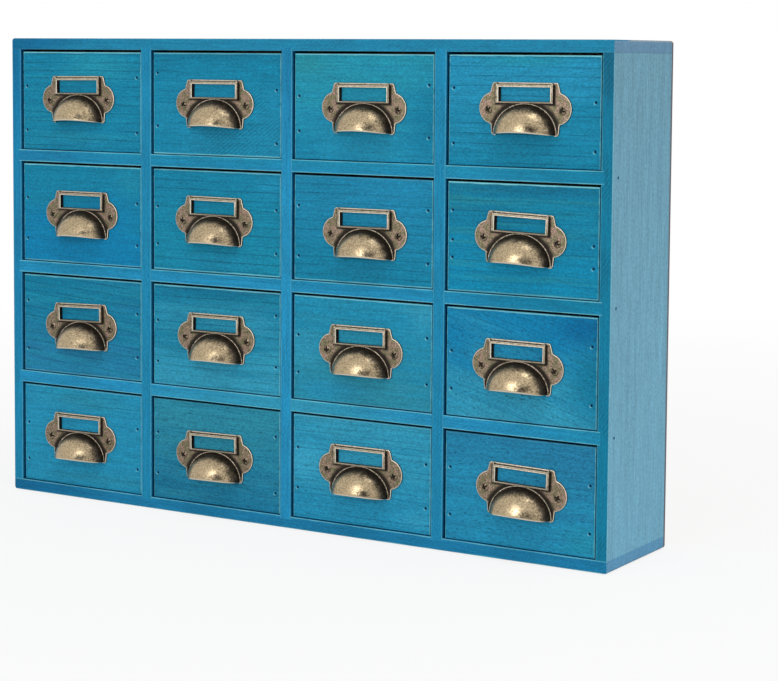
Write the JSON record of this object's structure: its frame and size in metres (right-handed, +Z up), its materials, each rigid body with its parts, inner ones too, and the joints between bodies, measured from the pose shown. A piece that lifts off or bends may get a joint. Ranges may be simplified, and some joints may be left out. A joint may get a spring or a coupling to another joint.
{
  "type": "tabletop drawer cabinet",
  "caption": "Shallow wooden tabletop cabinet with a grid of small drawers for sewing thread, each with a stamped cup pull and card frame.",
  "frame": {"origin": "middle of the case's flat underside, where it rests", "axes": "+X to the right as one faces the drawers, +Y to the back, +Z up; the drawers pull out along -Y"},
  "size_m": [0.6, 0.124, 0.4115],
  "materials": {
    "stained_wood": "blue water stain, worn pale on the arrises",
    "drawer_wood": "teal blue water stain, grain showing",
    "plywood": "thin blue wash",
    "antique_bronze": "antique bronze plating, relieved on high spots",
    "steel": "darkened"
  },
  "bodies": {
    "case": {"top_board": "stained_wood", "bottom_board": "stained_wood", "left_side": "stained_wood", "right_side": "stained_wood", "divider_1": "stained_wood", "divider_2": "stained_wood", "divider_3": "stained_wood", "shelf_1": "stained_wood", "shelf_2": "stained_wood", "shelf_3": "stained_wood", "back_panel": "plywood", "case_brads": "steel"},
    "drawer_r1c1": {"drawer_r1c1_box": "drawer_wood", "drawer_r1c1_pull": "antique_bronze", "drawer_r1c1_fasteners": "steel"},
    "drawer_r1c2": {"drawer_r1c2_box": "drawer_wood", "drawer_r1c2_pull": "antique_bronze", "drawer_r1c2_fasteners": "steel"},
    "drawer_r1c3": {"drawer_r1c3_box": "drawer_wood", "drawer_r1c3_pull": "antique_bronze", "drawer_r1c3_fasteners": "steel"},
    "drawer_r1c4": {"drawer_r1c4_box": "drawer_wood", "drawer_r1c4_pull": "antique_bronze", "drawer_r1c4_fasteners": "steel"},
    "drawer_r2c1": {"drawer_r2c1_box": "drawer_wood", "drawer_r2c1_pull": "antique_bronze", "drawer_r2c1_fasteners": "steel"},
    "drawer_r2c2": {"drawer_r2c2_box": "drawer_wood", "drawer_r2c2_pull": "antique_bronze", "drawer_r2c2_fasteners": "steel"},
    "drawer_r2c3": {"drawer_r2c3_box": "drawer_wood", "drawer_r2c3_pull": "antique_bronze", "drawer_r2c3_fasteners": "steel"},
    "drawer_r2c4": {"drawer_r2c4_box": "drawer_wood", "drawer_r2c4_pull": "antique_bronze", "drawer_r2c4_fasteners": "steel"},
    "drawer_r3c1": {"drawer_r3c1_box": "drawer_wood", "drawer_r3c1_pull": "antique_bronze", "drawer_r3c1_fasteners": "steel"},
    "drawer_r3c2": {"drawer_r3c2_box": "drawer_wood", "drawer_r3c2_pull": "antique_bronze", "drawer_r3c2_fasteners": "steel"},
    "drawer_r3c3": {"drawer_r3c3_box": "drawer_wood", "drawer_r3c3_pull": "antique_bronze", "drawer_r3c3_fasteners": "steel"},
    "drawer_r3c4": {"drawer_r3c4_box": "drawer_wood", "drawer_r3c4_pull": "antique_bronze", "drawer_r3c4_fasteners": "steel"},
    "drawer_r4c1": {"drawer_r4c1_box": "drawer_wood", "drawer_r4c1_pull": "antique_bronze", "drawer_r4c1_fasteners": "steel"},
    "drawer_r4c2": {"drawer_r4c2_box": "drawer_wood", "drawer_r4c2_pull": "antique_bronze", "drawer_r4c2_fasteners": "steel"},
    "drawer_r4c3": {"drawer_r4c3_box": "drawer_wood", "drawer_r4c3_pull": "antique_bronze", "drawer_r4c3_fasteners": "steel"},
    "drawer_r4c4": {"drawer_r4c4_box": "drawer_wood", "drawer_r4c4_pull": "antique_bronze", "drawer_r4c4_fasteners": "steel"}
  },
  "joints": [
    {"name": "drawer_r1c1_slide", "type": "slide", "parent": "case", "child": "drawer_r1c1", "axis": [0, -1, 0], "range_m": [0, 0.08]},
    {"name": "drawer_r1c2_slide", "type": "slide", "parent": "case", "child": "drawer_r1c2", "axis": [0, -1, 0], "range_m": [0, 0.08]},
    {"name": "drawer_r1c3_slide", "type": "slide", "parent": "case", "child": "drawer_r1c3", "axis": [0, -1, 0], "range_m": [0, 0.08]},
    {"name": "drawer_r1c4_slide", "type": "slide", "parent": "case", "child": "drawer_r1c4", "axis": [0, -1, 0], "range_m": [0, 0.08]},
    {"name": "drawer_r2c1_slide", "type": "slide", "parent": "case", "child": "drawer_r2c1", "axis": [0, -1, 0], "range_m": [0, 0.08]},
    {"name": "drawer_r2c2_slide", "type": "slide", "parent": "case", "child": "drawer_r2c2", "axis": [0, -1, 0], "range_m": [0, 0.08]},
    {"name": "drawer_r2c3_slide", "type": "slide", "parent": "case", "child": "drawer_r2c3", "axis": [0, -1, 0], "range_m": [0, 0.08]},
    {"name": "drawer_r2c4_slide", "type": "slide", "parent": "case", "child": "drawer_r2c4", "axis": [0, -1, 0], "range_m": [0, 0.08]},
    {"name": "drawer_r3c1_slide", "type": "slide", "parent": "case", "child": "drawer_r3c1", "axis": [0, -1, 0], "range_m": [0, 0.08]},
    {"name": "drawer_r3c2_slide", "type": "slide", "parent": "case", "child": "drawer_r3c2", "axis": [0, -1, 0], "range_m": [0, 0.08]},
    {"name": "drawer_r3c3_slide", "type": "slide", "parent": "case", "child": "drawer_r3c3", "axis": [0, -1, 0], "range_m": [0, 0.08]},
    {"name": "drawer_r3c4_slide", "type": "slide", "parent": "case", "child": "drawer_r3c4", "axis": [0, -1, 0], "range_m": [0, 0.08]},
    {"name": "drawer_r4c1_slide", "type": "slide", "parent": "case", "child": "drawer_r4c1", "axis": [0, -1, 0], "range_m": [0, 0.08]},
    {"name": "drawer_r4c2_slide", "type": "slide", "parent": "case", "child": "drawer_r4c2", "axis": [0, -1, 0], "range_m": [0, 0.08]},
    {"name": "drawer_r4c3_slide", "type": "slide", "parent": "case", "child": "drawer_r4c3", "axis": [0, -1, 0], "range_m": [0, 0.08]},
    {"name": "drawer_r4c4_slide", "type": "slide", "parent": "case", "child": "drawer_r4c4", "axis": [0, -1, 0], "range_m": [0, 0.08]}
  ]
}
